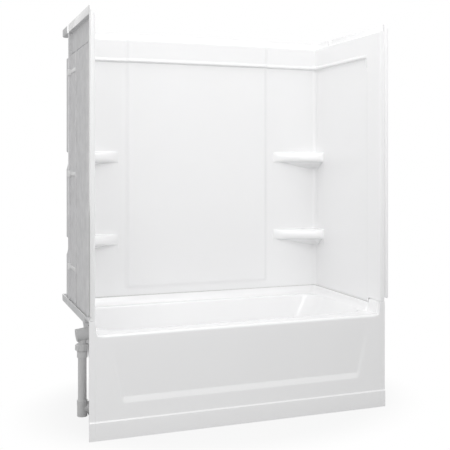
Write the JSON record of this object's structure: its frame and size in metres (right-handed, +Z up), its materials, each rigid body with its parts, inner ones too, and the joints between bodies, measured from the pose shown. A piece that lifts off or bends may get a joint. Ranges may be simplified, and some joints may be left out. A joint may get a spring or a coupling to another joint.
{
  "type": "tub and shower unit",
  "caption": "Alcove bathtub with a three-piece wall surround, corner shelves and a drain and overflow at the left end.",
  "frame": {"origin": "on the floor, under the middle of the whole unit", "axes": "+Z up, +Y from the apron towards the back wall, +X from the drain end to the backrest end"},
  "size_m": [1.524, 0.805, 1.961],
  "materials": {
    "white_composite": "high gloss",
    "clip_plastic": "satin",
    "foam_seal": "matte",
    "levelling_foam": "matte",
    "white_pipe": "satin",
    "washer_plastic": "satin",
    "black_rubber": "matte",
    "chrome_trim": "polished",
    "brass_fitting": "machined"
  },
  "bodies": {
    "unit": {"bathtub": "white_composite", "back_wall": "white_composite", "left_end_wall": "white_composite", "right_end_wall": "white_composite", "left_clip_upper": "clip_plastic", "left_clip_middle": "clip_plastic", "left_clip_lower": "clip_plastic", "right_clip_upper": "clip_plastic", "right_clip_middle": "clip_plastic", "right_clip_lower": "clip_plastic", "back_wall_seal": "foam_seal", "left_wall_seal": "foam_seal", "right_wall_seal": "foam_seal", "levelling_pad": "levelling_foam", "overflow_elbow": "white_pipe", "overflow_coupling": "white_pipe", "overflow_tube": "white_pipe", "waste_tee": "white_pipe", "waste_arm": "white_pipe", "waste_shoe": "white_pipe", "overflow_slip_nut": "white_pipe", "arm_slip_nut": "white_pipe", "overflow_slip_washer": "washer_plastic", "arm_slip_washer": "washer_plastic", "overflow_gasket": "black_rubber", "shoe_gasket": "black_rubber", "overflow_faceplate": "chrome_trim", "overflow_screws": "chrome_trim", "drain_flange": "chrome_trim", "stopper_post": "brass_fitting"},
    "stopper": {"stopper_cap": "chrome_trim", "stopper_stem": "brass_fitting", "stopper_seal": "black_rubber"}
  },
  "joints": [
    {"name": "stopper_lift", "type": "slide", "parent": "unit", "child": "stopper", "axis": [0, 0, 1], "range_m": [0, 0.008]}
  ]
}
